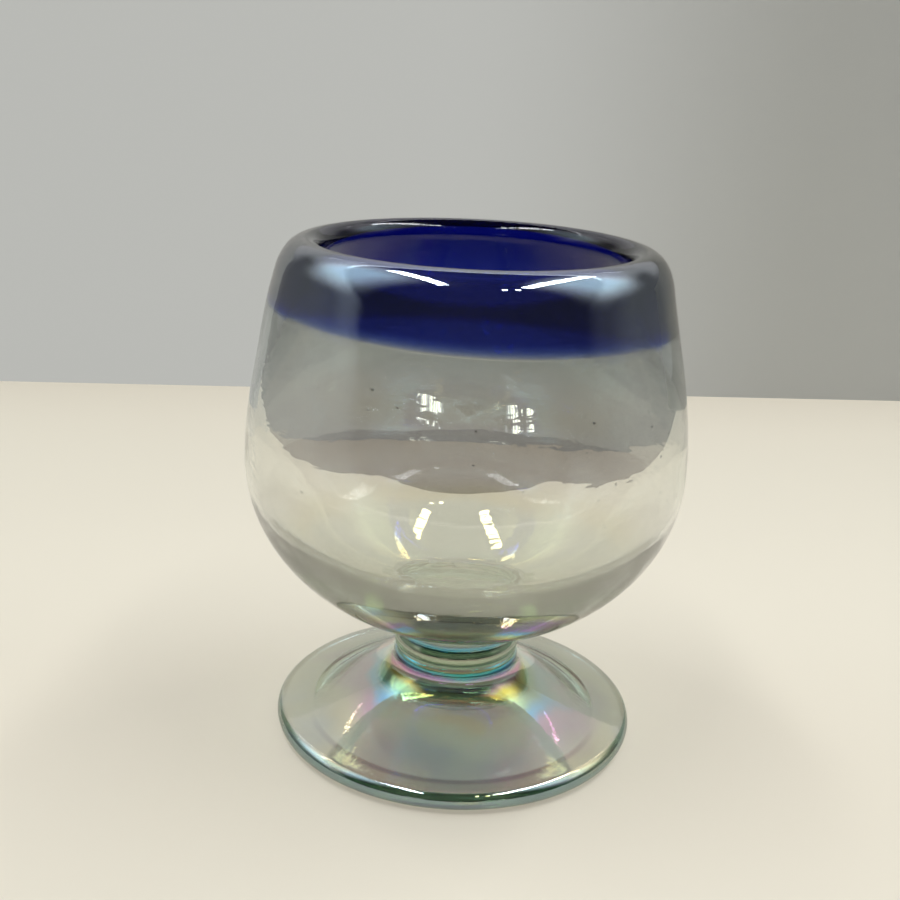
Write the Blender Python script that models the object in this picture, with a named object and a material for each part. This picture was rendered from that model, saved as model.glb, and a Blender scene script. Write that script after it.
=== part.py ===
"""Hand-blown cognac glass: a cobalt lip, a clear bowl with a heavy base, a short waisted stem and a trumpet foot.

Sizes are in metres and +Z is up. The origin is on the table, at the middle of the foot's underside.
Every piece is a turned solid, and neighbours that are fused in the real glass lie one seam gap apart.
"""

import math

import bmesh
import bpy
from mathutils import Vector
from mathutils.geometry import interpolate_bezier

# Foot
FOOT_RADIUS = 0.0410
FOOT_HEIGHT = 0.0182
FOOT_EDGE = 0.0044           # thickness of the rounded edge
FOOT_EDGE_SLOPE = 9.0        # degrees that the top rises inwards from the edge
FOOT_SWEEP = 0.0130          # how far the top runs on at that slope before it turns up
FOOT_FLARE = 0.0064          # how far the collar runs down before it turns out
FOOT_REST_RADIUS = 0.0325    # inside of the flat ring that stands on the table
FOOT_KICK = 0.0080           # height of the hollow under the foot
COLLAR_RADIUS = 0.0143
COLLAR_HEIGHT = 0.0016

# Stem
STEM_HEIGHT = 0.0063         # from the foot to the bowl's outside, on the axis
STEM_SEAM_RADIUS = 0.0138    # where the stem and the foot's collar meet
STEM_BEAD_RADIUS = 0.0142
STEM_BEAD_HEIGHT = 0.0020    # of the bead's widest place, above the foot
STEM_WAIST_RADIUS = 0.0134
STEM_WAIST_HEIGHT = 0.0050
STEM_FLARE_RADIUS = 0.0164   # where the waist has spread out under the bowl
STEM_FLARE_EDGE = 0.0004

# Bowl
BOWL_RADIUS = 0.0480
BOWL_DEPTH = 0.0395          # outside, from the bottom to the widest place
BOWL_RISE = 0.0400           # from the widest place to the shoulder
BOWL_WALL = 0.0016           # at the belly, where it is thinnest
BOWL_BASE = 0.0120           # glass under the floor of the bowl, on the axis
FLOOR_SQUARENESS = 2.45      # 2 is an ellipse, more is a flatter floor with a tighter corner
SHOULDER_RADIUS = 0.0416
SHOULDER_LEAN = 0.21         # inward run for each unit of height, at the shoulder

# Lip
LIP_HEIGHT = 0.0069          # from the shoulder to the crest
LIP_ROUND = 0.00325          # radius of the crest's inner side
LIP_UNDERCUT = 28.0          # degrees that the inner round turns on below the mouth
LIP_TAPER = 0.0340           # from the shoulder down to where the wall is thin
LIP_WIDTH = 0.0094           # how far the mouth lies inside the shoulder
BAND_DEPTH = 0.0146          # of the cobalt outside, from the crest
BAND_SLANT = 0.0016          # how much higher the cobalt's edge lies inside

# Seams and fineness
SEAM_GAP = 0.0003
TURN_STEPS = 48
QUARTER_STEPS = 14
CURVE_STEPS = 8

# Heights and radii that follow from the sizes above
BOWL_BOTTOM = FOOT_HEIGHT + STEM_HEIGHT
BOWL_WIDEST = BOWL_BOTTOM + BOWL_DEPTH
SHOULDER = BOWL_WIDEST + BOWL_RISE
CREST = SHOULDER + LIP_HEIGHT
MOUTH_RADIUS = SHOULDER_RADIUS - LIP_WIDTH
CREST_RADIUS = MOUTH_RADIUS + LIP_ROUND
BAND_EDGE = CREST - BAND_DEPTH
BOWL_FLOOR = BOWL_BOTTOM + BOWL_BASE
CIRCLE_HANDLE = 0.5523       # handle length of a quarter circle, for a radius of 1

COBALT = (0.012, 0.010, 0.190)
CLEAR = (0.780, 0.820, 0.760)


def curve(start, leave, arrive, end, steps=CURVE_STEPS):
    """Points of a Bezier curve, in (radius, height)."""
    knots = [Vector((r, z)) for r, z in (start, leave, arrive, end)]
    return [(p.x, p.y) for p in interpolate_bezier(*knots, steps)]


def spaced(first, last, steps=CURVE_STEPS):
    """Evenly spaced values, both ends included."""
    return [first + (last - first) * i / (steps - 1) for i in range(steps)]


def arc(centre, radius, first, last):
    """Points of a round, in (radius, height), between two angles in degrees."""
    turn = [math.radians(a) for a in spaced(first, last)]
    return [(centre[0] + radius * math.cos(a), centre[1] + radius * math.sin(a)) for a in turn]


def beside_bead(bead_radius, bead, seam_radius, seam):
    """Points from a bead's widest place over its round to the seam beside it."""
    third = (seam - bead) / 3
    return curve((bead_radius, bead), (bead_radius, bead + third),
                 (bead_radius, seam - third), (seam_radius, seam))


def bowl_under(radius):
    """Height of the bowl's outside below its widest place."""
    return BOWL_WIDEST - BOWL_DEPTH * math.sqrt(1 - (radius / BOWL_RADIUS) ** 2)


def bowl_radius(height):
    """Outer radius of the bowl between its widest place and the shoulder."""
    up = (height - BOWL_WIDEST) / BOWL_RISE
    drop = BOWL_RADIUS - SHOULDER_RADIUS
    lean = SHOULDER_LEAN * BOWL_RISE
    return BOWL_RADIUS - (3 * drop - lean) * up ** 2 - (lean - 2 * drop) * up ** 3


def bowl_lean(height):
    """Inward run of the bowl's outside for each unit of height, at a height above its widest place."""
    step = BOWL_RISE / 1000
    return (bowl_radius(height) - bowl_radius(height + step)) / step


def outside():
    """The bowl's outside from the axis up to the crest of the lip."""
    under = [BOWL_RADIUS * math.sin(a) for a in spaced(0, math.tau / 4, QUARTER_STEPS)]
    points = [(r, bowl_under(r)) for r in under]
    points += [(bowl_radius(z), z) for z in spaced(BOWL_WIDEST, SHOULDER)[1:]]
    leave = LIP_HEIGHT * CIRCLE_HANDLE
    across = (SHOULDER_RADIUS - CREST_RADIUS) * CIRCLE_HANDLE
    points += curve((SHOULDER_RADIUS, SHOULDER), (SHOULDER_RADIUS - SHOULDER_LEAN * leave, SHOULDER + leave),
                    (CREST_RADIUS + across, CREST), (CREST_RADIUS, CREST))[1:]
    return points


def inside():
    """The bowl's inside from the crest of the lip down to the axis."""
    points = arc((CREST_RADIUS, CREST - LIP_ROUND), LIP_ROUND, 90, 180 + LIP_UNDERCUT)
    even = SHOULDER - LIP_TAPER
    mouth = points[-1]
    run = (mouth[1] - even) / 3
    away = math.radians(LIP_UNDERCUT)
    thin = bowl_radius(even) - BOWL_WALL
    points += curve(mouth, (mouth[0] + run * math.sin(away), mouth[1] - run * math.cos(away)),
                    (thin - run * bowl_lean(even), even + run), (thin, even), QUARTER_STEPS)[1:]
    points += [(bowl_radius(z) - BOWL_WALL, z) for z in spaced(even, BOWL_WIDEST)[1:-1]]
    power = 2 / FLOOR_SQUARENESS
    turn = spaced(0, math.tau / 4, QUARTER_STEPS)[:-1]
    points += [((BOWL_RADIUS - BOWL_WALL) * math.cos(a) ** power,
                BOWL_WIDEST - (BOWL_WIDEST - BOWL_FLOOR) * math.sin(a) ** power) for a in turn]
    return points + [(0.0, BOWL_FLOOR)]


def cut_at(points, height):
    """Splits a line of points where it crosses a height, into the first and the second stretch."""
    for i in range(len(points) - 1):
        (r0, z0), (r1, z1) = points[i], points[i + 1]
        if (z0 - height) * (z1 - height) <= 0 and z0 != z1 and max(r0, r1) > MOUTH_RADIUS:
            t = (height - z0) / (z1 - z0)
            cut = (r0 + t * (r1 - r0), height)
            return points[:i + 1] + [cut], [cut] + points[i + 1:]
    raise ValueError("the height isn't on this line")


def thinned(points, least=0.00005):
    """Leaves out points that lie on top of the one before."""
    kept = [points[0]]
    for p in points[1:]:
        if math.dist(p, kept[-1]) > least:
            kept.append(p)
    return kept


def bowl_profile():
    outer = cut_at(outside(), BAND_EDGE - SEAM_GAP / 2)[0]
    inner = cut_at(inside(), BAND_EDGE + BAND_SLANT - SEAM_GAP)[1]
    return outer + inner


def rim_profile():
    outer = cut_at(outside(), BAND_EDGE + SEAM_GAP / 2)[1]
    inner = cut_at(inside(), BAND_EDGE + BAND_SLANT)[0]
    return outer + inner[1:]


def stem_profile():
    foot = FOOT_HEIGHT + SEAM_GAP / 2
    bead = FOOT_HEIGHT + STEM_BEAD_HEIGHT
    waist = FOOT_HEIGHT + STEM_WAIST_HEIGHT
    under = bowl_under(STEM_FLARE_RADIUS) - SEAM_GAP
    flare = under - STEM_FLARE_EDGE
    half = (waist - bead) / 2
    spread = STEM_FLARE_RADIUS - STEM_WAIST_RADIUS
    points = [(0.0, foot)]
    points += beside_bead(STEM_BEAD_RADIUS, bead, STEM_SEAM_RADIUS, foot)[::-1]
    points += curve((STEM_BEAD_RADIUS, bead), (STEM_BEAD_RADIUS, bead + half),
                    (STEM_WAIST_RADIUS, waist - half), (STEM_WAIST_RADIUS, waist))[1:]
    points += curve((STEM_WAIST_RADIUS, waist), (STEM_WAIST_RADIUS, waist + (flare - waist) / 2),
                    (STEM_FLARE_RADIUS - spread / 2, flare), (STEM_FLARE_RADIUS, flare))[1:]
    return points + [(r, bowl_under(r) - SEAM_GAP) for r in spaced(STEM_FLARE_RADIUS, 0.0)]


def foot_profile():
    edge = FOOT_EDGE / 2
    seam = FOOT_HEIGHT - SEAM_GAP / 2
    collar = FOOT_HEIGHT - COLLAR_HEIGHT
    slope = math.radians(FOOT_EDGE_SLOPE)
    points = [(r, FOOT_KICK * (1 - (r / FOOT_REST_RADIUS) ** 2)) for r in spaced(0.0, FOOT_REST_RADIUS)]
    points += arc((FOOT_RADIUS - edge, edge), edge, -90, 90 - FOOT_EDGE_SLOPE)
    start = points[-1]
    points += curve(start, (start[0] - FOOT_SWEEP * math.cos(slope), start[1] + FOOT_SWEEP * math.sin(slope)),
                    (COLLAR_RADIUS, collar - FOOT_FLARE), (COLLAR_RADIUS, collar), QUARTER_STEPS)[1:]
    points += beside_bead(COLLAR_RADIUS, collar, STEM_SEAM_RADIUS, seam)[1:]
    return points + [(0.0, seam)]


def glass(name, colour):
    material = bpy.data.materials.new(name)
    material.use_nodes = True
    shader = material.node_tree.nodes["Principled BSDF"]
    shader.inputs["Base Color"].default_value = (*colour, 1)
    shader.inputs["Roughness"].default_value = 0.03
    shader.inputs["Metallic"].default_value = 0.0
    shader.inputs["Transmission Weight"].default_value = 1.0
    return material


def turned(name, profile, seat, material, parent):
    """Turns a closed profile about +Z into a solid whose own origin is at its seat on the axis."""
    mesh = bmesh.new()
    points = thinned(profile)
    ring = [mesh.verts.new((r, 0, z - seat)) for r, z in points]
    edges = [mesh.edges.new(pair) for pair in zip(ring, ring[1:])]
    if points[0][0] > 0:
        edges.append(mesh.edges.new((ring[-1], ring[0])))
    bmesh.ops.spin(mesh, geom=ring + edges, cent=(0, 0, 0), axis=(0, 0, 1), angle=math.tau,
                   steps=TURN_STEPS, use_merge=True)
    bmesh.ops.remove_doubles(mesh, verts=mesh.verts, dist=0.000001)
    bmesh.ops.recalc_face_normals(mesh, faces=mesh.faces)
    data = bpy.data.meshes.new(name)
    mesh.to_mesh(data)
    mesh.free()
    data.materials.append(material)
    data.shade_smooth()
    data.set_sharp_from_angle(angle=math.radians(40))
    piece = bpy.data.objects.new(name, data)
    piece.location.z = seat
    piece.parent = parent
    bpy.context.scene.collection.objects.link(piece)
    return piece


for old in list(bpy.data.objects):
    bpy.data.objects.remove(old)

cognac_glass = bpy.data.objects.new("cognac_glass", None)
bpy.context.scene.collection.objects.link(cognac_glass)
turned("foot", foot_profile(), 0.0, glass("foot_glass", CLEAR), cognac_glass)
turned("stem", stem_profile(), FOOT_HEIGHT, glass("stem_glass", CLEAR), cognac_glass)
turned("bowl", bowl_profile(), BOWL_BOTTOM, glass("bowl_glass", CLEAR), cognac_glass)
turned("rim", rim_profile(), BAND_EDGE, glass("cobalt_glass", COBALT), cognac_glass)
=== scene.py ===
import math
import random

import bpy
from mathutils import Matrix, Vector, noise
from mathutils.geometry import interpolate_bezier


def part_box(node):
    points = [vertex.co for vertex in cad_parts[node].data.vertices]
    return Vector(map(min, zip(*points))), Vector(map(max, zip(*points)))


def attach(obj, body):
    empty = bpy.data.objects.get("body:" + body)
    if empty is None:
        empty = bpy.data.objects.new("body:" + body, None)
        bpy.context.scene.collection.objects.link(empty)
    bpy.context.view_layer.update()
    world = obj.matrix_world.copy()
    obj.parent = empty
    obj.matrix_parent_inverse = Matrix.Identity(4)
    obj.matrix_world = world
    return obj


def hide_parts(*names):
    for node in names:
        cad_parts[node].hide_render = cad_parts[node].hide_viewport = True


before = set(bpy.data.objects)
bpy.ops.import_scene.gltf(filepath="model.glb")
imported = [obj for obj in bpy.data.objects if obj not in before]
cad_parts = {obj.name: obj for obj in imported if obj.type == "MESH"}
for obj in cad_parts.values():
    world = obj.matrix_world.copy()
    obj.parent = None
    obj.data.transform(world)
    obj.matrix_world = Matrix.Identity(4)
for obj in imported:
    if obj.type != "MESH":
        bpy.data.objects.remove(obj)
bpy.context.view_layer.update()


# Foot: a solid trumpet of clear glass, dropped on as a hot bit, spun out to a disc and fire-polished.
# Its underside is tooled hollow, so it stands on a ring. Metal fumes left a lustre on the top that thickens
# from silver and gold near the edge to rainbow colours at the collar.

foot_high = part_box("foot")[1]
stem_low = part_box("stem")[0]
FOOT_RADIUS = foot_high.x
FOOT_TOP = (foot_high.z + stem_low.z) / 2
FOOT_EDGE = 0.0044           # thickness of the rounded edge
FOOT_EDGE_SLOPE = 9.0        # degrees
FOOT_SWEEP = 0.0130          # how far the trumpet holds the edge's slope
FOOT_FLARE = 0.0064          # how far below the collar it turns upright
FOOT_REST_RADIUS = 0.0325
FOOT_KICK = 0.0080           # depth of the hollow
COLLAR_RADIUS = 0.0143
COLLAR_HEIGHT = 0.0016
NECK_RADIUS = 0.0138         # of the seam with the stem
FUSED = 0.00001              # half the gap that keeps two fused faces apart
TURN_STEPS = 256
SHARP_ANGLE = 40.0           # degrees
SWELL_DEPTH = 0.00004
SWELL_FINENESS = 40.0        # waves to the metre, as each fineness is
MARK_DEPTH = 0.000012
MARK_FINENESS = (90.0, 90.0, 300.0)
TOOLED_RADIUS = 0.031
TOOLED_DEPTH = 0.00025
TOOLED_FINENESS = 55.0


def spaced(first, last, steps):
    """Evenly spaced values, both ends included."""
    return [first + (last - first) * i / (steps - 1) for i in range(steps)]


def curve(start, leave, arrive, end, steps):
    """Points of a Bezier curve, in (radius, height)."""
    knots = [Vector((r, z)) for r, z in (start, leave, arrive, end)]
    return [(p.x, p.y) for p in interpolate_bezier(*knots, steps)]


def arc(centre, radius, first, last, steps):
    """Points of a round, in (radius, height), between two angles in degrees."""
    turn = [math.radians(a) for a in spaced(first, last, steps)]
    return [(centre[0] + radius * math.cos(a), centre[1] + radius * math.sin(a)) for a in turn]


def beside_bead(bead_radius, bead, seam_radius, seam):
    """Points from a bead's widest place over its round to the seam beside it."""
    third = (seam - bead) / 3
    return curve((bead_radius, bead), (bead_radius, bead + third),
                 (bead_radius, seam - third), (seam_radius, seam), steps=12)


def hand_made(place):
    """Unevenness that the hand leaves on the outside, as a shift along the normal."""
    swell = SWELL_DEPTH * noise.noise(place * SWELL_FINENESS)
    return swell + MARK_DEPTH * noise.noise(place * Vector(MARK_FINENESS))


def tooled(place):
    """Unevenness that the tool leaves in the foot's hollow."""
    inward = max(0.0, 1 - math.hypot(place.x, place.y) / TOOLED_RADIUS)
    return TOOLED_DEPTH * inward * noise.noise(place * TOOLED_FINENESS)


def turned(name, stretches, bend=None, bubbles=()):
    """Turns a closed outline about the axis. A stretch is its points, in (radius, height), and then whether
    its faces carry the lustre, whether they lie on a fused seam, and the unevenness of its surface. The bend
    moves every corner of the turned faces. A bubble is the corners and faces of a hole inside the glass."""
    rings, marks = [], []
    for points, lustre, seam, uneven in stretches:
        fresh = points if not rings else points[1:]
        rings += [(r, z, uneven) for r, z in fresh]
        marks += [(lustre, seam)] * (len(points) - 1)
    closed = rings[0][0] > 0
    if closed:
        rings.pop()
    turn = [math.tau * k / TURN_STEPS for k in range(TURN_STEPS)]
    places, rows = [], []
    for i, (r, z, uneven) in enumerate(rings):
        before = rings[i - 1 if i or closed else i]
        after = rings[(i + 1) % len(rings) if closed else min(i + 1, len(rings) - 1)]
        along = Vector((after[0] - before[0], after[1] - before[1])).normalized()
        row = []
        for a in turn if r > 0 else turn[:1]:
            place = Vector((r * math.cos(a), r * math.sin(a), z))
            if uneven and r > 0:
                out = Vector((along.y * math.cos(a), along.y * math.sin(a), -along.x))
                place = place + out * uneven(place)
            row.append(len(places))
            places.append(bend(place) if bend else place)
        rows.append(row if r > 0 else row * TURN_STEPS)
    faces, lustres, seams = [], [], []
    for i, (lustre, seam) in enumerate(marks):
        low, high = rows[i], rows[(i + 1) % len(rows)]
        for k in range(TURN_STEPS):
            n = (k + 1) % TURN_STEPS
            faces.append(tuple(dict.fromkeys((low[k], low[n], high[n], high[k]))))
        lustres += [lustre] * TURN_STEPS
        seams += [seam] * TURN_STEPS
    for corners, sides in bubbles:
        faces += [tuple(len(places) + c for c in side) for side in sides]
        places += corners
        lustres += [0.0] * len(sides)
        seams += [0.0] * len(sides)
    mesh = bpy.data.meshes.new(name)
    mesh.from_pydata(places, [], faces)
    mesh.attributes.new("lustre", "FLOAT", "FACE").data.foreach_set("value", lustres)
    mesh.attributes.new("seam", "FLOAT", "FACE").data.foreach_set("value", seams)
    mesh.shade_smooth()
    mesh.set_sharp_from_angle(angle=math.radians(SHARP_ANGLE))
    piece = bpy.data.objects.new(name, mesh)
    bpy.context.scene.collection.objects.link(piece)
    return piece


class Wire:
    """A socket among the nodes. Arithmetic on it adds Math nodes, and node() adds any other node."""

    def __init__(self, socket):
        self.socket = socket

    def node(self, kind, settings, sockets, output=0):
        """Adds a node: its settings first, then its sockets by name or number. Gives back one output."""
        tree = self.socket.id_data
        made = tree.nodes.new(kind)
        for key, value in settings.items():
            setattr(made, key, value)
        for key, value in sockets.items():
            if isinstance(value, Wire):
                tree.links.new(value.socket, made.inputs[key])
            else:
                made.inputs[key].default_value = value
        return Wire(made.outputs[output]) if made.outputs else None

    def math(self, operation, *values):
        return self.node("ShaderNodeMath", {"operation": operation}, dict(enumerate(values)))

    def __add__(self, other):
        return self.math("ADD", self, other)

    def __radd__(self, other):
        return self.math("ADD", other, self)

    def __sub__(self, other):
        return self.math("SUBTRACT", self, other)

    def __rsub__(self, other):
        return self.math("SUBTRACT", other, self)

    def __mul__(self, other):
        return self.math("MULTIPLY", self, other)

    def __rmul__(self, other):
        return self.math("MULTIPLY", other, self)

    def __truediv__(self, other):
        return self.math("DIVIDE", self, other)

    def __rtruediv__(self, other):
        return self.math("DIVIDE", other, self)

    def grown(self, low, high):
        """0 below the first level, 1 above the second and a soft rise between them."""
        return self.node("ShaderNodeMapRange", {"interpolation_type": "SMOOTHSTEP"}, {
            0: self, 1: low, 2: high})

    def within(self, rise, fall):
        """A soft rise from 0 to 1 between two levels, and a soft fall back to 0 between two others."""
        return self.grown(*rise) * (1 - self.grown(*fall))


WHITE = (1, 1, 1)
GLASS_IOR = 1.5
HAZE_ROUGHNESS = 0.22
GRAIN_STRENGTH = 0.02
GRAIN_DEPTH = 0.0005


def here_in(material):
    """The place on the piece, in metres, as the first wire of a new material."""
    material.use_nodes = True
    material.node_tree.nodes.clear()
    return Wire(material.node_tree.nodes.new("ShaderNodeTexCoord").outputs["Object"])


def coordinate(here, axis):
    return here.node("ShaderNodeSeparateXYZ", {}, {0: here}, axis)


def attribute(here, name):
    return here.node("ShaderNodeAttribute", {"attribute_name": name}, {}, "Fac")


def blotches(here, fineness, detail):
    """Noise from 0 to 1 over the piece."""
    return here.node("ShaderNodeTexNoise", {}, {"Vector": here, "Scale": fineness, "Detail": detail}, "Fac")


def polished(here, fineness):
    """The faint grain that is left on fire-polished glass, as its normal."""
    grain = blotches(here, fineness, detail=2.0)
    return here.node("ShaderNodeBump", {}, {
        "Strength": GRAIN_STRENGTH, "Distance": GRAIN_DEPTH, "Height": grain}, "Normal")


def opaque(colour):
    """A colour for a socket: a wire as it is, and a plain colour with its alpha."""
    return colour if isinstance(colour, Wire) else (*colour, 1)


def blended(here, factor, first, second):
    """A colour that goes from the first to the second."""
    return here.node("ShaderNodeMix", {"data_type": "RGBA"}, {
        0: factor, "A": opaque(first), "B": opaque(second)}, 2)


def mixed(here, factor, first, second):
    """A shader that goes from the first to the second."""
    return here.node("ShaderNodeMixShader", {}, {0: factor, 1: first, 2: second})


def glass(here, normal, haze, film=0.0, film_ior=2.0, tint=WHITE):
    """Clear glass under a little haze, with a lustre film of so many nanometres and its faint tint."""
    return here.node("ShaderNodeBsdfPrincipled", {}, {
        "Base Color": opaque(tint), "Roughness": 0.0, "IOR": GLASS_IOR, "Transmission Weight": 1.0,
        "Coat Weight": haze, "Coat Roughness": HAZE_ROUGHNESS,
        "Thin Film Thickness": film, "Thin Film IOR": film_ior, "Normal": normal})


def lustred(here, ladder, level, film_ior, normal, haze, bare=WHITE):
    """Bare glass, and over the lustred faces films of growing thickness that blend from level to level.
    A rung of the ladder is its level, its film in nanometres and its tint."""
    shader = glass(here, normal, haze, ladder[0][1], film_ior, ladder[0][2])
    for (low, _, _), (high, film, tint) in zip(ladder, ladder[1:]):
        shader = mixed(here, level.grown(low, high), shader, glass(here, normal, haze, film, film_ior, tint))
    return mixed(here, attribute(here, "lustre"), glass(here, normal, 0.0, tint=bare), shader)


def fused_glass(here, shader, absorbs, density):
    """Lets seams pass unseen, fills the piece with tinted glass and closes the material."""
    clear = here.node("ShaderNodeBsdfTransparent", {}, {})
    surface = mixed(here, attribute(here, "seam"), shader, clear)
    inside = here.node("ShaderNodeVolumeAbsorption", {}, {"Color": opaque(absorbs), "Density": density})
    here.node("ShaderNodeOutputMaterial", {}, {"Surface": surface, "Volume": inside})


CLEAR_GLASS = (0.58, 0.75, 0.64)
FOOT_DENSITY = 70.0
SILVER = (0.97, 0.97, 0.97)
GOLD = (0.98, 0.96, 0.86)
VIOLET = (0.88, 0.82, 0.91)
CYAN = (0.74, 0.90, 0.93)
GREEN = (0.72, 0.90, 0.62)
YELLOW = (0.94, 0.90, 0.58)
MAGENTA = (0.90, 0.66, 0.84)
TEAL = (0.80, 0.86, 0.70)
FOOT_FILMS = [(0.0028, 32, SILVER), (0.0054, 72, GOLD), (0.0080, 104, VIOLET), (0.0096, 126, CYAN),
              (0.0112, 159, GREEN), (0.0126, 180, YELLOW), (0.0144, 211, MAGENTA), (0.0168, 236, TEAL)]
FOOT_FILM_IOR = 2.6
FOOT_FILM_SHIFT = 0.008      # how far the patches move the films' levels
FOOT_PATCHES = 48.0          # fineness of each noise
FOOT_SMEARS = 130.0
CLEAR_GRAIN = 900.0
FOOT_HAZE = 0.2
FOOT_HAZE_EDGES = (0.5, 0.75)
RING_SHADE = (0.84, 0.80, 0.70)
CREASE_SHADE = (0.42, 0.34, 0.40)
RING_SHADE_EDGES = (0.0320, 0.0326)        # radius at which the painted shade on the resting ring starts
CREASE_SHADE_EDGES = (0.0330, 0.0342)      # and at which the painted dark line along its inner edge ends
RING_SHADE_DEPTHS = (-0.026, -0.006)       # the painted shade is full in front and fades toward the back

round_edge = FOOT_EDGE / 2
collar = FOOT_TOP - COLLAR_HEIGHT
slope = math.radians(FOOT_EDGE_SLOPE)
hollow = [(r, FOOT_KICK * (1 - (r / FOOT_REST_RADIUS) ** 2))
          for r in spaced(0.0, FOOT_REST_RADIUS, steps=48)]
edge = arc((FOOT_RADIUS - round_edge, round_edge), round_edge, -90, 90 - FOOT_EDGE_SLOPE, steps=24)
edge_radius, edge_height = edge[-1]
trumpet = curve((edge_radius, edge_height),
                (edge_radius - FOOT_SWEEP * math.cos(slope), edge_height + FOOT_SWEEP * math.sin(slope)),
                (COLLAR_RADIUS, collar - FOOT_FLARE), (COLLAR_RADIUS, collar), steps=56)
neck = beside_bead(COLLAR_RADIUS, collar, NECK_RADIUS, FOOT_TOP - FUSED)
foot = turned("foot_glass", [
    (hollow + edge[:1], 0.0, 0.0, tooled),
    (edge + trumpet[1:] + neck[1:], 1.0, 0.0, hand_made),
    ([neck[-1], (0.0, FOOT_TOP - FUSED)], 0.0, 1.0, None)])

foot_material = bpy.data.materials.new("foot_lustre_glass")
here = here_in(foot_material)
level = coordinate(here, "Z") + (blotches(here, FOOT_PATCHES, detail=2.0) - 0.5) * FOOT_FILM_SHIFT
haze = blotches(here, FOOT_SMEARS, detail=4.0).grown(*FOOT_HAZE_EDGES) * FOOT_HAZE
sideways = here.node("ShaderNodeVectorMath", {"operation": "MULTIPLY"}, {0: here, 1: (1, 1, 0)})
from_axis = here.node("ShaderNodeVectorMath", {"operation": "LENGTH"}, {0: sideways}, "Value")
# Painted shade: the ring the foot rests on is tinted darker in front, with a darker line painted along its
# inner edge, as the shade where it meets the table.
shade_in_front = 1 - coordinate(here, "Y").grown(*RING_SHADE_DEPTHS)
bare = blended(here, from_axis.grown(*RING_SHADE_EDGES) * shade_in_front, WHITE, RING_SHADE)
bare = blended(here, from_axis.within(RING_SHADE_EDGES, CREASE_SHADE_EDGES) * shade_in_front, bare, CREASE_SHADE)
fused_glass(here, lustred(here, FOOT_FILMS, level, FOOT_FILM_IOR, polished(here, CLEAR_GRAIN), haze, bare),
            CLEAR_GLASS, FOOT_DENSITY)
foot.data.materials.append(foot_material)
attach(foot, "root")
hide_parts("foot")


# Stem: a short solid button of clear glass between bowl and foot, pressed to a soft bead below and waisted
# above. It is fused to both while hot. Its lustre is teal at the bead, thin at the waist and blue and violet
# under the bowl.

bowl_low, bowl_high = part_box("bowl")
BOWL_RADIUS = bowl_high.x
BOWL_BOTTOM = bowl_low.z
BOWL_DEPTH = 0.0395          # from the widest place down
BOWL_WIDEST = BOWL_BOTTOM + BOWL_DEPTH
STEM_BEAD_RADIUS = 0.0142
STEM_BEAD_HEIGHT = 0.0020
STEM_WAIST_RADIUS = 0.0134
STEM_WAIST_HEIGHT = 0.0050
STEM_FLARE_RADIUS = 0.0164
STEM_FLARE_DIP = 0.0004      # how far below its edge the flare's curve comes in
STEM_DENSITY = 46.0
UMBER = (0.80, 0.74, 0.60)
STEM_FILMS = [(0.0176, 270, UMBER), (0.0196, 66, UMBER), (0.0220, 66, UMBER), (0.0232, 143, CYAN),
              (0.0244, 125, VIOLET)]
STEM_FILM_IOR = 2.3
STEM_FILM_SHIFT = 0.003
STEM_PATCHES = 90.0


def bowl_under(radius):
    """Height of the bowl's outside below its widest place."""
    return BOWL_WIDEST - BOWL_DEPTH * math.sqrt(1 - (radius / BOWL_RADIUS) ** 2)


bead = FOOT_TOP + STEM_BEAD_HEIGHT
waist = FOOT_TOP + STEM_WAIST_HEIGHT
flare = bowl_under(STEM_FLARE_RADIUS) - FUSED
half = (waist - bead) / 2
spread = STEM_FLARE_RADIUS - STEM_WAIST_RADIUS
side = beside_bead(STEM_BEAD_RADIUS, bead, NECK_RADIUS, FOOT_TOP + FUSED)[::-1]
side += curve((STEM_BEAD_RADIUS, bead), (STEM_BEAD_RADIUS, bead + half),
              (STEM_WAIST_RADIUS, waist - half), (STEM_WAIST_RADIUS, waist), steps=16)[1:]
side += curve((STEM_WAIST_RADIUS, waist), (STEM_WAIST_RADIUS, waist + (flare - waist) / 2),
              (STEM_FLARE_RADIUS - spread / 2, flare - STEM_FLARE_DIP),
              (STEM_FLARE_RADIUS, flare), steps=20)[1:]
top = [(r, bowl_under(r) - FUSED) for r in spaced(STEM_FLARE_RADIUS, 0.0, steps=24)]
stem = turned("stem_glass", [
    ([(0.0, FOOT_TOP + FUSED), side[0]], 0.0, 1.0, None),
    (side, 1.0, 0.0, hand_made),
    (top, 0.0, 1.0, None)])

stem_material = bpy.data.materials.new("stem_lustre_glass")
here = here_in(stem_material)
level = coordinate(here, "Z") + (blotches(here, STEM_PATCHES, detail=2.0) - 0.5) * STEM_FILM_SHIFT
fused_glass(here, lustred(here, STEM_FILMS, level, STEM_FILM_IOR, polished(here, CLEAR_GRAIN), haze=0.0),
            CLEAR_GLASS, STEM_DENSITY)
stem.data.materials.append(stem_material)
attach(stem, "root")
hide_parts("stem")


# Bowl: one gather of faintly olive glass blown to a round belly, thin in the wall and heavy in the base.
# The base sits on the stem. The outside has a silvery lustre under a little haze; the inside is bare and
# ripples, and seeds, which are small bubbles, are caught in the wall.

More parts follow.
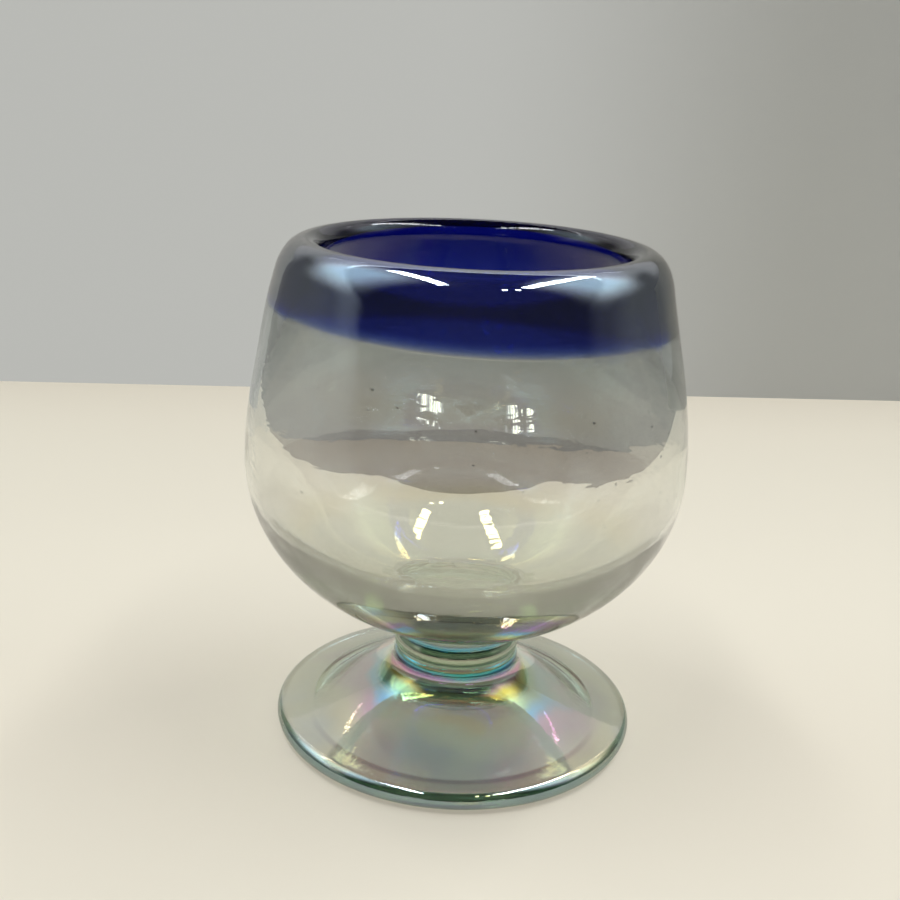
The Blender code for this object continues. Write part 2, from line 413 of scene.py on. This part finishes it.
rim_low, rim_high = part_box("rim")
SEAM_GAP = 0.0003            # between the solids
BAND_EDGE = rim_low.z - SEAM_GAP / 2
BAND_SLANT = 0.0016          # how much higher the seam with the rim lies inside
BOWL_RISE = 0.0400           # from the widest place up to the shoulder
BOWL_WALL = 0.0016
BOWL_BASE = 0.0120           # thickness of the base on the axis
BOWL_FLOOR = BOWL_BOTTOM + BOWL_BASE
FLOOR_SQUARENESS = 2.45      # 2 is an ellipse
SHOULDER = BOWL_WIDEST + BOWL_RISE
SHOULDER_RADIUS = 0.0416
SHOULDER_LEAN = 0.21         # inward, as a slope
CREST = rim_high.z
LIP_ROUND = 0.00325
LIP_UNDERCUT = 28.0          # degrees
LIP_TAPER = 0.0340           # how far below the shoulder the wall starts to thicken
MOUTH_RADIUS = 0.0322
CREST_RADIUS = MOUTH_RADIUS + LIP_ROUND
CIRCLE_HANDLE = 0.5523       # handle of a curve that follows a quarter circle
TILT_HEIGHT = 0.0965         # of the cobalt's edge, about
TILT_REACH = 0.0125          # above and below it
TILT_RADIUS = 0.043
TILT_RISE = 0.0007           # of the edge at both sides
TILT_LEAN = 0.0012           # up on the left and down on the right
RIPPLE_DEPTH = 0.00005
RIPPLE_FINENESS = (70.0, 70.0, 150.0)
RIPPLE_TOP = 0.064           # the ripples fade up to this height
RIPPLE_FADE = 0.012
RIPPLE_LEAST = 0.2
PRESSED_CENTRE = (0.0015, -0.001)
PRESSED_RADIUS = 0.0072
PRESSED_DEPTH = 0.00008
SEED_CHANCE = 4              # picks one scatter of the seeds
SEED_COUNT = 54
SEEDS_ON_RIGHT = 16
SEED_RIGHT = (-0.35, 0.2)            # where around the axis these gather, in radians
SEED_RIGHT_HEIGHTS = (0.052, 0.072)
SEED_HEIGHTS = (0.040, 0.093)
SEED_SHARES = (0.35, 0.65)           # of the way from the inside to the outside
SEED_RADII = (0.00018, 0.00042)
SEED_FLATNESS = (0.6, 1.0)
SEED_RINGS = 7
SEED_SIDES = 10


def tilted(place):
    """Lets the cobalt's edge run a little askew around the bowl, higher on the left."""
    near = max(0.0, 1 - ((place.z - TILT_HEIGHT) / TILT_REACH) ** 2)
    aside = place.x / TILT_RADIUS
    return place + Vector((0, 0, near ** 2 * (TILT_RISE * aside ** 2 - TILT_LEAN * aside)))


def ripple(place):
    """Waves that blowing leaves on the inside, and a shallow disc where the floor was pressed."""
    low = min(1.0, max(RIPPLE_LEAST, (RIPPLE_TOP - place.z) / RIPPLE_FADE))
    waves = RIPPLE_DEPTH * low * noise.noise(place * Vector(RIPPLE_FINENESS))
    off_centre = math.hypot(place.x - PRESSED_CENTRE[0], place.y - PRESSED_CENTRE[1])
    return waves - PRESSED_DEPTH * max(0.0, 1 - (off_centre / PRESSED_RADIUS) ** 2)


def seed(centre, size):
    """A bubble in the glass, as the corners and faces of a small ball that opens inwards."""
    corners, faces = [], []
    for i in range(SEED_RINGS):
        polar = math.pi * (i + 0.5) / SEED_RINGS
        out = math.sin(polar)
        low, high = SEED_SIDES * i, SEED_SIDES * (i - 1)
        for k in range(SEED_SIDES):
            around = math.tau * k / SEED_SIDES
            ball = Vector((out * math.cos(around), out * math.sin(around), math.cos(polar)))
            corners.append(centre + ball * size)
            if i:
                n = (k + 1) % SEED_SIDES
                faces.append((high + k, high + n, low + n, low + k))
    return corners, faces + [tuple(range(SEED_SIDES))[::-1], tuple(range(low, low + SEED_SIDES))]


def bowl_radius(height):
    """Outer radius of the bowl between its widest place and the shoulder."""
    up = (height - BOWL_WIDEST) / BOWL_RISE
    drop = BOWL_RADIUS - SHOULDER_RADIUS
    lean = SHOULDER_LEAN * BOWL_RISE
    return BOWL_RADIUS - (3 * drop - lean) * up ** 2 - (lean - 2 * drop) * up ** 3


def outside():
    """The outside from under the stem's flare up to the crest of the lip."""
    flare_turn = math.asin(STEM_FLARE_RADIUS / BOWL_RADIUS)
    under = [BOWL_RADIUS * math.sin(a) for a in spaced(flare_turn, math.tau / 4, steps=60)]
    points = [(r, bowl_under(r)) for r in under]
    points += [(bowl_radius(z), z) for z in spaced(BOWL_WIDEST, SHOULDER, steps=40)[1:]]
    leave = (CREST - SHOULDER) * CIRCLE_HANDLE
    across = (SHOULDER_RADIUS - CREST_RADIUS) * CIRCLE_HANDLE
    points += curve((SHOULDER_RADIUS, SHOULDER), (SHOULDER_RADIUS - SHOULDER_LEAN * leave, SHOULDER + leave),
                    (CREST_RADIUS + across, CREST), (CREST_RADIUS, CREST), steps=28)[1:]
    return points


def inside():
    """The inside from the crest of the lip down to the axis."""
    points = arc((CREST_RADIUS, CREST - LIP_ROUND), LIP_ROUND, 90, 180 + LIP_UNDERCUT, steps=32)
    even = SHOULDER - LIP_TAPER
    mouth = points[-1]
    run = (mouth[1] - even) / 3
    away = math.radians(LIP_UNDERCUT)
    nudge = run / 100
    lean = (bowl_radius(even) - bowl_radius(even + nudge)) / nudge
    points += curve(mouth, (mouth[0] + run * math.sin(away), mouth[1] - run * math.cos(away)),
                    (bowl_radius(even) - BOWL_WALL - run * lean, even + run),
                    (bowl_radius(even) - BOWL_WALL, even), steps=40)[1:]
    points += [(bowl_radius(z) - BOWL_WALL, z) for z in spaced(even, BOWL_WIDEST, steps=20)[1:-1]]
    power = 2 / FLOOR_SQUARENESS
    points += [((BOWL_RADIUS - BOWL_WALL) * math.cos(a) ** power,
                BOWL_WIDEST - (BOWL_WIDEST - BOWL_FLOOR) * math.sin(a) ** power)
               for a in spaced(0, math.tau / 4, steps=80)[:-1]]
    return points + [(0.0, BOWL_FLOOR)]


def crossing(points, height, least_radius=0.0):
    """Where a line of points first crosses a height: the number of its last point before, and the radius."""
    for i, ((r0, z0), (r1, z1)) in enumerate(zip(points, points[1:])):
        if (z0 - height) * (z1 - height) <= 0 and z0 != z1 and max(r0, r1) > least_radius:
            return i, r0 + (r1 - r0) * (height - z0) / (z1 - z0)
    raise ValueError("the height isn't on this line")


def cut_at(points, height):
    """Splits a line of points where it crosses a height, into the first and the second stretch."""
    last, radius = crossing(points, height, MOUTH_RADIUS)
    cut = (radius, height)
    return points[:last + 1] + [cut], [cut] + points[last + 1:]


OLIVE = (0.86, 0.84, 0.67)
PALE_BLUE = (0.92, 0.96, 1.0)
BASE_GLASS = (0.55, 0.61, 0.46)
BASE_DENSITY = 74.0
BOWL_FILMS = [(0.0255, 131, OLIVE), (0.0290, 108, OLIVE), (0.0365, 103, OLIVE), (0.0400, 58, OLIVE),
              (0.0470, 58, SILVER), (0.0765, 58, SILVER), (0.0850, 46, PALE_BLUE), (0.0930, 52, PALE_BLUE)]
BOWL_FILM_IOR = 2.5
BOWL_FILM_SHIFT = 0.010
BOWL_PATCHES = 35.0
BOWL_SMEARS = 90.0
BOWL_HAZE = 0.8
BOWL_HAZE_EDGES = (0.42, 0.68)
DRAWN_FINENESS = (260, 260, 800)     # of the grain that is drawn around the bowl
DRAWN_DEPTH = 0.00003
DRAWN_EDGES = (0.35, 0.65)

seat = [(r, bowl_under(r)) for r in spaced(0.0, STEM_FLARE_RADIUS, steps=24)]
outer = cut_at(outside(), BAND_EDGE - FUSED)[0]
inner = cut_at(inside(), BAND_EDGE + BAND_SLANT - FUSED)[1]
chance = random.Random(SEED_CHANCE)
seeds = []
for i in range(SEED_COUNT):
    on_right = i < SEEDS_ON_RIGHT
    around = chance.uniform(*SEED_RIGHT) if on_right else chance.uniform(0, math.tau)
    height = chance.uniform(*SEED_RIGHT_HEIGHTS) if on_right else chance.uniform(*SEED_HEIGHTS)
    far, near = crossing(outer, height)[1], crossing(inner, height)[1]
    out = near + (far - near) * chance.uniform(*SEED_SHARES)
    round_size = chance.uniform(*SEED_RADII)
    size = Vector((1, 1, chance.uniform(*SEED_FLATNESS))) * round_size
    seeds.append(seed(Vector((out * math.cos(around), out * math.sin(around), height)), size))
bowl = turned("bowl_glass", [
    (seat, 0.0, 1.0, None),
    (outer, 1.0, 0.0, hand_made),
    ([outer[-1], inner[0]], 0.0, 1.0, None),
    (inner, 0.0, 0.0, ripple)], tilted, seeds)

bowl_material = bpy.data.materials.new("bowl_clear_glass")
here = here_in(bowl_material)
patch = blotches(here, BOWL_PATCHES, detail=3.0)
level = coordinate(here, "Z") + (patch - 0.5) * BOWL_FILM_SHIFT
haze = blotches(here, BOWL_SMEARS, detail=4.0).grown(*BOWL_HAZE_EDGES) * BOWL_HAZE
drawn = here.node("ShaderNodeMapping", {}, {"Vector": here, "Scale": DRAWN_FINENESS})
relief = blotches(drawn, 1.0, detail=1.0) * patch.grown(*DRAWN_EDGES)
grain = here.node("ShaderNodeBump", {}, {
    "Strength": 1.0, "Distance": DRAWN_DEPTH, "Height": relief}, "Normal")
fused_glass(here, lustred(here, BOWL_FILMS, level, BOWL_FILM_IOR, grain, haze), BASE_GLASS, BASE_DENSITY)
bowl.data.materials.append(bowl_material)
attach(bowl, "root")
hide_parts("bowl")


# Rim: a wrap of cobalt glass laid on the lip while hot and rounded in the fire, thick above and thinning
# out over the clear wall below, so its lower edge glows a brighter blue. Its lustre is thin and silvery.

COBALT = (0.05, 0.22, 0.78)
COBALT_DENSITY = 860.0
RIM_FILMS = [(0.3, 40, SILVER), (0.7, 50, SILVER)]   # the level is that of the patches
RIM_FILM_IOR = 2.3
RIM_PATCHES = 40.0
RIM_SMEARS = 110.0
RIM_GRAIN = 700.0
RIM_HAZE = 0.25
RIM_HAZE_EDGES = (0.45, 0.7)

outer = cut_at(outside(), BAND_EDGE + FUSED)[1]
inner = cut_at(inside(), BAND_EDGE + BAND_SLANT + FUSED)[0]
rim = turned("rim_glass", [
    (outer, 1.0, 0.0, hand_made),
    ([outer[-1]] + inner[1:], 0.0, 0.0, None),
    ([inner[-1], outer[0]], 0.0, 1.0, None)], tilted)

rim_material = bpy.data.materials.new("rim_cobalt_glass")
here = here_in(rim_material)
patch = blotches(here, RIM_PATCHES, detail=3.0)
haze = blotches(here, RIM_SMEARS, detail=4.0).grown(*RIM_HAZE_EDGES) * RIM_HAZE
fused_glass(here, lustred(here, RIM_FILMS, patch, RIM_FILM_IOR, polished(here, RIM_GRAIN), haze),
            COBALT, COBALT_DENSITY)
rim.data.materials.append(rim_material)
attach(rim, "root")
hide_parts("rim")


# Table and backdrop: a plain pale board that runs on under the camera, and a plain grey board that stands
# behind it, a little askew. Both are lit flat in part, also where the glass shows them, and the backdrop's
# flat light falls off to the right.

TABLE_COLOUR = (0.785, 0.725, 0.605)
TABLE_FLAT = 0.38            # share of flat light
TABLE_DROP = 0.0004          # keeps the foot's ring clear of the table
TABLE_FRONT = -0.52
TABLE_BACK = 0.40
TABLE_SIDE = 0.42
BOARD_ROUGHNESS = 0.6
BACKDROP_COLOUR = (0.515, 0.52, 0.495)
BACKDROP_FLAT_LEFT = 0.88
BACKDROP_FLAT_RIGHT = 0.20
FALL_OFF = (-0.02, 0.16)     # where along the board the flat light changes
BACKDROP_AWAY = 0.287
BACKDROP_TURN = 0.106        # as a slope
BACKDROP_LEFT = -0.30
BACKDROP_RIGHT = 0.60
BACKDROP_HEIGHT = 0.205


def board(name, corners, colour, flat_left, flat_right):
    """A flat board of the stage, with its shares of flat light on the left and on the right."""
    mesh = bpy.data.meshes.new(name)
    mesh.from_pydata(corners, [], [(0, 1, 2, 3)])
    piece = bpy.data.objects.new(name, mesh)
    bpy.context.scene.collection.objects.link(piece)
    material = bpy.data.materials.new(name + "_paint")
    here = here_in(material)
    paint = here.node("ShaderNodeBsdfPrincipled", {}, {
        "Base Color": opaque(colour), "Roughness": BOARD_ROUGHNESS})
    flat = here.node("ShaderNodeEmission", {}, {"Color": opaque(colour)})
    seen = here.node("ShaderNodeLightPath", {}, {}, "Is Camera Ray")
    for ray in ("Is Glossy Ray", "Is Transmission Ray"):
        seen = seen.math("MAXIMUM", seen, here.node("ShaderNodeLightPath", {}, {}, ray))
    flat_light = flat_left + coordinate(here, "X").grown(*FALL_OFF) * (flat_right - flat_left)
    here.node("ShaderNodeOutputMaterial", {}, {"Surface": mixed(here, seen * flat_light, paint, flat)})
    mesh.materials.append(material)


def backdrop_at(x):
    return BACKDROP_AWAY + BACKDROP_TURN * x


board("table", [(-TABLE_SIDE, TABLE_FRONT, -TABLE_DROP), (TABLE_SIDE, TABLE_FRONT, -TABLE_DROP),
                (TABLE_SIDE, TABLE_BACK, -TABLE_DROP), (-TABLE_SIDE, TABLE_BACK, -TABLE_DROP)],
      TABLE_COLOUR, TABLE_FLAT, TABLE_FLAT)
board("backdrop", [(BACKDROP_LEFT, backdrop_at(BACKDROP_LEFT), -TABLE_DROP),
                   (BACKDROP_RIGHT, backdrop_at(BACKDROP_RIGHT), -TABLE_DROP),
                   (BACKDROP_RIGHT, backdrop_at(BACKDROP_RIGHT), BACKDROP_HEIGHT),
                   (BACKDROP_LEFT, backdrop_at(BACKDROP_LEFT), BACKDROP_HEIGHT)],
      BACKDROP_COLOUR, BACKDROP_FLAT_LEFT, BACKDROP_FLAT_RIGHT)


# Light: two rows of lamp rungs overhead, with two small spots in front and a thin tube behind each row.
# The room is dark in front and overhead and grey at its walls, with soft patches of light high at the sides
# and behind, and two hatched panes of light in front that only the glass shows.

LAMP_HEIGHT = 1.1
ROWS = [(-0.36, -0.18, -0.52, 14), (0.50, 0.12, -0.46, 18)]   # aside, spread, nearest, rungs
RUNG_STEP = 0.06
RUNG_WIDTH = 0.11
RUNG_LENGTH = 0.040
RUNG_GLARE = 82.0            # watts from a square metre of lamp
SPOTS = [(0.29, -0.68), (0.41, -0.64)]
SPOT_SIZE = 0.05
TUBES = [(-0.55, 1.03), (0.57, 1.05)]
TUBE_LENGTH = 0.34           # the tubes lie crosswise
TUBE_WIDTH = 0.014
TUBE_GLARE = 14.0

lamps = []
for row_aside, row_spread, nearest, rungs in ROWS:
    for away in spaced(nearest, nearest + RUNG_STEP * (rungs - 1), rungs):
        lamps.append((row_aside + row_spread * away, away, RUNG_WIDTH, RUNG_LENGTH, RUNG_GLARE))
lamps += [(x, y, SPOT_SIZE, SPOT_SIZE, RUNG_GLARE) for x, y in SPOTS]
lamps += [(x, y, TUBE_LENGTH, TUBE_WIDTH, TUBE_GLARE) for x, y in TUBES]
for x, y, width, length, glare in lamps:
    light = bpy.data.lights.new("lamp", "AREA")
    light.shape = "RECTANGLE"
    light.size = width
    light.size_y = length
    light.energy = glare * width * length
    lamp = bpy.data.objects.new("lamp", light)
    lamp.location = (x, y, LAMP_HEIGHT)
    lamp.rotation_euler = (0, math.atan2(x, LAMP_HEIGHT), 0)
    bpy.context.scene.collection.objects.link(lamp)

# A pair of levels is a soft edge along one part of the direction: right, aside, ahead, above or across.
DARK_LIGHT = 0.03
WALL_LIGHT = 0.17
WALL_TURN = 0.1              # the walls start nearer on the left
WALL_AHEAD = (-0.55, 0.10)
CEILING_SLOPE = 0.75         # the ceiling's edge is higher at the sides
CEILING_EDGE = (-0.05, 0.10)
BACK_AHEAD = (0.60, 0.85)    # where the wall grows twice as light at the back
CORNICE_LIGHT = 0.5          # added at the top of the walls
CORNICE_FADE = (0.05, 0.50)
COVE_LIGHT = 2.5             # a thin bright line along the ceiling's edge
COVE_RISE, COVE_FALL = (-0.04, 0.0), (0.0, 0.06)
COVE_AHEAD = (0.20, 0.35)
HALO_LIGHT = 1.6             # the soft patch high on either side
HALO_ASIDE = (0.25, 0.60)
HALO_ABOVE = (0.20, 0.62)
HALO_RISE, HALO_FALL = (-0.50, 0.05), (0.20, 0.55)
SKY_LIGHT = 0.55             # a fainter one further back
SKY_ASIDE = (0.25, 0.42)
SKY_ABOVE = (0.42, 0.62)
SKY_RISE, SKY_FALL = (0.15, 0.40), (0.62, 0.80)
BEYOND_LIGHT = 0.27          # a faint band straight behind
BEYOND_AHEAD = (0.60, 0.78)
BEYOND_RISE, BEYOND_FALL = (0.20, 0.34), (0.55, 0.68)
DAYLIGHT = (0.74, 0.92, 1)   # colour of the halo
PANE_LIGHT = 4.6
PANE_TONE = (1, 0.94, 0.66)
PANE_AHEAD = (0.5, 0.6)
PANE_LEFT = ((-0.48, -0.44), (-0.24, -0.20))
PANE_RIGHT = ((0.33, 0.37), (0.62, 0.68))
PANE_LOW = ((0.066, 0.070), (0.080, 0.084))
PANE_HIGH = ((0.094, 0.098), (0.114, 0.120))
HATCH_FINENESS = 230
HATCH_JITTER = 24
HATCH_EDGES = (-0.5, 0.7)
HATCH_GAP = 0.25             # light that is left between the strokes
SMUDGES = 22.0
SMUDGE_EDGES = (0.36, 0.60)
LEAST_AHEAD = -0.1           # keeps the slope across the front from growing without end

world = bpy.data.worlds.new("room")
world.use_nodes = True
bpy.context.scene.world = world
world.node_tree.nodes.clear()
facing = Wire(world.node_tree.nodes.new("ShaderNodeTexCoord").outputs["Generated"])
right, ahead, above = (coordinate(facing, axis) for axis in "XYZ")
aside = right.math("ABSOLUTE", right)
under = ahead + aside * CEILING_SLOPE - above
walls = (ahead - right * WALL_TURN).grown(*WALL_AHEAD) * under.grown(*CEILING_EDGE)
cornice = walls * (1 - under.grown(*CORNICE_FADE))
cove = under.within(COVE_RISE, COVE_FALL) * ahead.grown(*COVE_AHEAD)
halo = aside.grown(*HALO_ASIDE) * above.grown(*HALO_ABOVE) * ahead.within(HALO_RISE, HALO_FALL)
sky = aside.grown(*SKY_ASIDE) * above.grown(*SKY_ABOVE) * ahead.within(SKY_RISE, SKY_FALL)
beyond = ahead.grown(*BEYOND_AHEAD) * above.within(BEYOND_RISE, BEYOND_FALL)
room = DARK_LIGHT + walls * (1 + ahead.grown(*BACK_AHEAD)) * WALL_LIGHT
room = room + cornice * CORNICE_LIGHT + cove * COVE_LIGHT
room = room + halo * HALO_LIGHT + sky * SKY_LIGHT + beyond * BEYOND_LIGHT

across = right / (0 - ahead.math("MINIMUM", ahead, LEAST_AHEAD))
smudge = blotches(facing, SMUDGES, detail=1.0)
stroke = across.math("SINE", across * HATCH_FINENESS + smudge * HATCH_JITTER).grown(*HATCH_EDGES)
hatch = (HATCH_GAP + stroke * (1 - HATCH_GAP)) * smudge.grown(*SMUDGE_EDGES)
panes = across.within(*PANE_LEFT) + across.within(*PANE_RIGHT)
pane_rows = above.within(*PANE_LOW) + above.within(*PANE_HIGH)
unseen = 1 - facing.node("ShaderNodeLightPath", {}, {}, "Is Camera Ray")
glints = panes * pane_rows * hatch * (0 - ahead).grown(*PANE_AHEAD) * unseen
tone = blended(facing, glints, blended(facing, halo, WHITE, DAYLIGHT), PANE_TONE)
glow = facing.node("ShaderNodeBackground", {}, {"Color": tone, "Strength": room + glints * PANE_LIGHT})
facing.node("ShaderNodeOutputWorld", {}, {"Surface": glow})


# Camera: stands where the photograph was taken from, a little above the lip, looks down at the glass and is
# rolled as a hand-held one is. The bounces let light pass through all the walls of the glass.

CAMERA_AWAY = 0.25203
CAMERA_HEIGHT = 0.14765
CAMERA_PITCH = math.radians(18.1807)
CAMERA_ROLL = math.radians(2.6712)
CAMERA_PAN = math.radians(-0.7858)
CAMERA_LENS = 48.193         # millimetres
CAMERA_SENSOR = 36.0
CAMERA_NEAREST = 0.01
GLASS_BOUNCES = 24
GLOSSY_BOUNCES = 12
CLEAR_BOUNCES = 32

forward = Vector((math.sin(CAMERA_PAN) * math.cos(CAMERA_PITCH),
                  math.cos(CAMERA_PAN) * math.cos(CAMERA_PITCH), -math.sin(CAMERA_PITCH)))
sideward = Vector((math.cos(CAMERA_PAN), -math.sin(CAMERA_PAN), 0))
upright = sideward.cross(forward)
picture_right = math.cos(CAMERA_ROLL) * sideward + math.sin(CAMERA_ROLL) * upright
picture_up = math.cos(CAMERA_ROLL) * upright - math.sin(CAMERA_ROLL) * sideward
turn = Matrix((picture_right, picture_up, -forward)).transposed().to_4x4()
camera_data = bpy.data.cameras.new("camera")
camera_data.sensor_width = CAMERA_SENSOR
camera_data.lens = CAMERA_LENS
camera_data.clip_start = CAMERA_NEAREST
camera = bpy.data.objects.new("camera", camera_data)
camera.matrix_world = Matrix.Translation((0, -CAMERA_AWAY, CAMERA_HEIGHT)) @ turn
scene = bpy.context.scene
scene.collection.objects.link(camera)
scene.camera = camera
scene.view_settings.view_transform = "Standard"
scene.cycles.max_bounces = GLASS_BOUNCES
scene.cycles.transmission_bounces = GLASS_BOUNCES
scene.cycles.glossy_bounces = GLOSSY_BOUNCES
scene.cycles.transparent_max_bounces = CLEAR_BOUNCES
